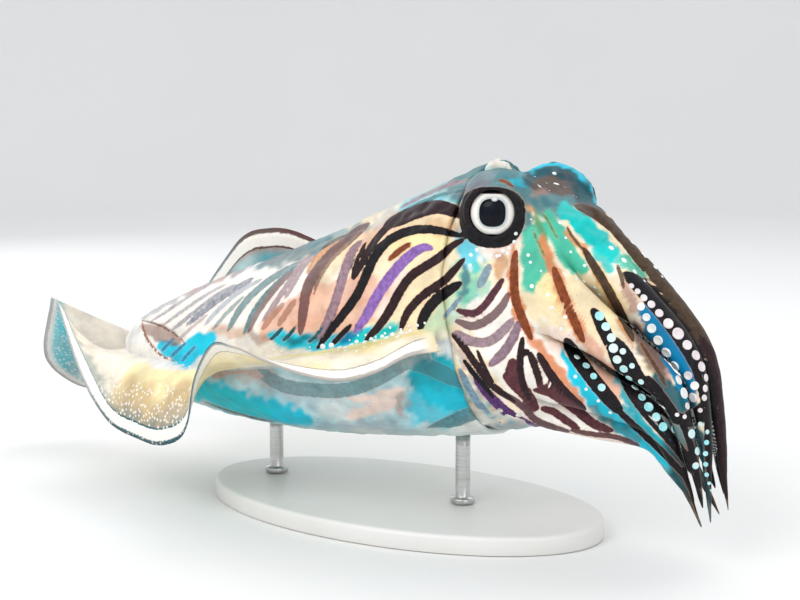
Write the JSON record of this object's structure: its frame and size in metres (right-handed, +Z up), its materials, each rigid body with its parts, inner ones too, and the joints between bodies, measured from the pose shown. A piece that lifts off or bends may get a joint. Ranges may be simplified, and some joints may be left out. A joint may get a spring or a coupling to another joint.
{
  "type": "common cuttlefish",
  "caption": "Life-size still model of a common cuttlefish with waved fins and drooping arms, held by two rods on a flat oval base.",
  "frame": {"origin": "middle of the underside of the stand's base", "axes": "+X forward to the head and arms, +Y to the animal's left, +Z up"},
  "size_m": [0.4685, 0.1823, 0.1957],
  "materials": {
    "skin": "smooth moist skin, striped brown and purple over cream, teal along the sides",
    "eye": "glossy, white iris with a dark folded pupil",
    "stand": "satin off-white",
    "rod": "fine brushed"
  },
  "bodies": {
    "root": {"arm_left_1_base": "skin", "arm_left_1_tip": "skin", "arm_left_2_base": "skin", "arm_left_2_tip": "skin", "arm_left_3_base": "skin", "arm_left_3_tip": "skin", "arm_left_4_base": "skin", "arm_left_4_tip": "skin", "arm_right_1_base": "skin", "arm_right_1_tip": "skin", "arm_right_2_base": "skin", "arm_right_2_tip": "skin", "arm_right_3_base": "skin", "arm_right_3_tip": "skin", "arm_right_4_base": "skin", "arm_right_4_tip": "skin", "eye_left": "eye", "eye_right": "eye", "fin_left_front": "skin", "fin_left_middle": "skin", "fin_left_rear": "skin", "fin_left_tail": "skin", "fin_right_front": "skin", "fin_right_middle": "skin", "fin_right_rear": "skin", "fin_right_tail": "skin", "funnel": "skin", "head": "skin", "mantle": "skin", "stand_base": "stand", "stand_rod_front": "rod", "stand_rod_rear": "rod"}
  },
  "joints": []
}
